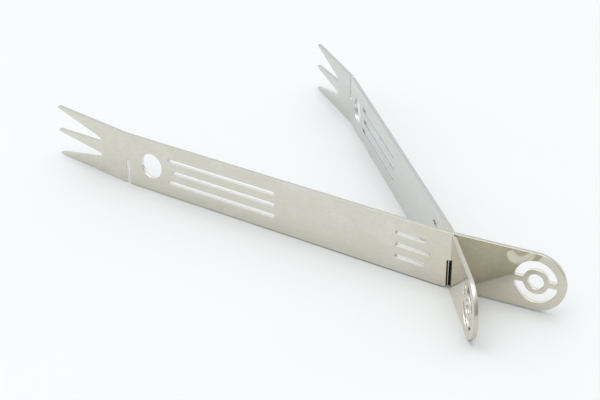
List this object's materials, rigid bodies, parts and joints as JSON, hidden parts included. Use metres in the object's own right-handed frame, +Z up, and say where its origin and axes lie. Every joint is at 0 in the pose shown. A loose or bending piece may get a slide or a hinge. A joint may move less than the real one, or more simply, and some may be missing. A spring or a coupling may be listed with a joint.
{
  "type": "slot-together cooking tongs",
  "caption": "Flat-pack cooking tongs: crossed steel fork blades that slot together, pivot at the slots and end in ring-cut handles.",
  "frame": {"origin": "on the table under the line where the two blades cross, on the right blade's lower edge", "axes": "+Z up along the crossing line, +Y between the jaws towards the prongs, +X to the right blade's side"},
  "size_m": [0.1246, 0.2043, 0.021],
  "materials": {
    "stainless_sheet": "bright rolled stainless sheet, laser cut, edges broken"
  },
  "bodies": {
    "right": {"right_blade": "stainless_sheet"},
    "left": {"left_blade": "stainless_sheet"}
  },
  "joints": [
    {"name": "crossing_pivot", "type": "hinge", "parent": "right", "child": "left", "pos_m": [0, 0, 0.0102], "axis": [0, 0, 1], "range_deg": [-1.5, 68]}
  ]
}
